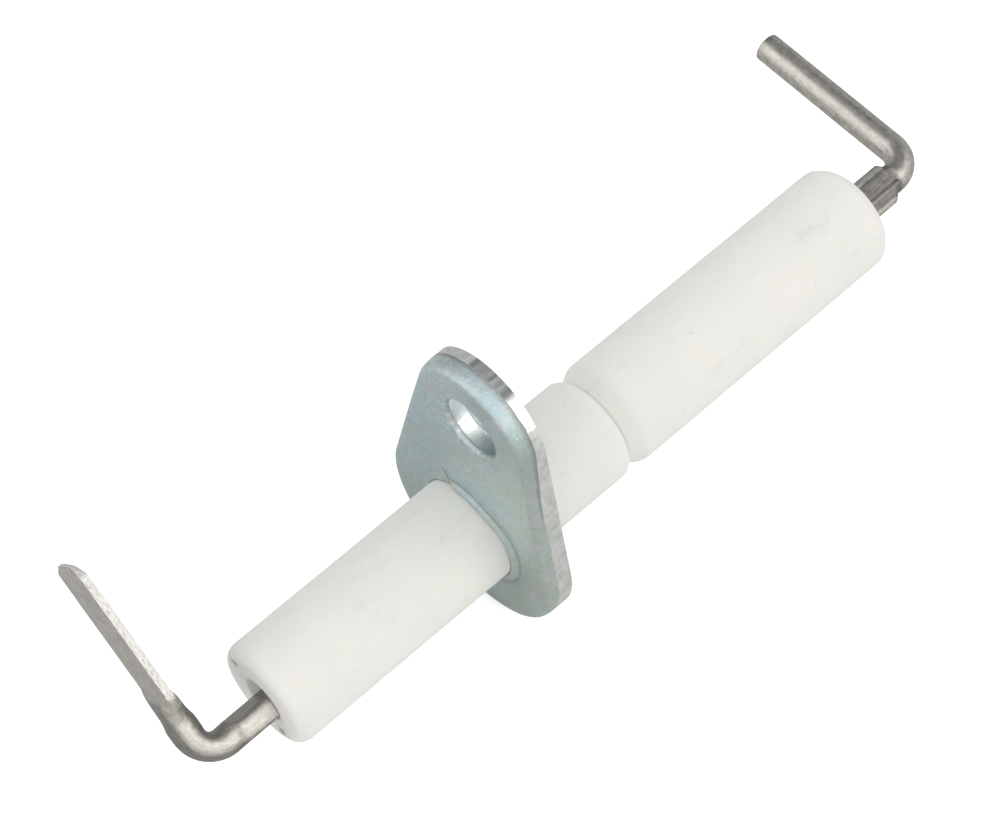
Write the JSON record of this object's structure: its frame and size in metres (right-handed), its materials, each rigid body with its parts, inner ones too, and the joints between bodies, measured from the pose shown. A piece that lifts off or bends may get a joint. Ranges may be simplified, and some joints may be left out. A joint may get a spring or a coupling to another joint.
{
  "type": "ignition electrode",
  "caption": "Spark electrode: a metal rod through a long two-piece ceramic tube with a one-screw flange, one end bent into a spark tip and the other pressed into a push-on tab.",
  "frame": {"origin": "on the flange's seating face (its burner side), midway between the insulator's axis and the screw hole's axis", "axes": "+X along the insulator towards the spark end, +Z from the insulator's axis to the fixing screw hole, +Y by the right hand rule"},
  "size_m": [0.0945, 0.0303, 0.0363],
  "materials": {
    "rod_metal": "drawn heat-resistant wire, dull grey with streaks",
    "terminal_ceramic": "unglazed matt white",
    "burner_ceramic": "unglazed matt white",
    "zinc_plate": "zinc plated, clear-blue passivated, satin"
  },
  "bodies": {
    "root": {"electrode_rod": "rod_metal", "terminal_side_insulator": "terminal_ceramic", "burner_side_insulator": "burner_ceramic", "mounting_flange": "zinc_plate"}
  },
  "joints": []
}
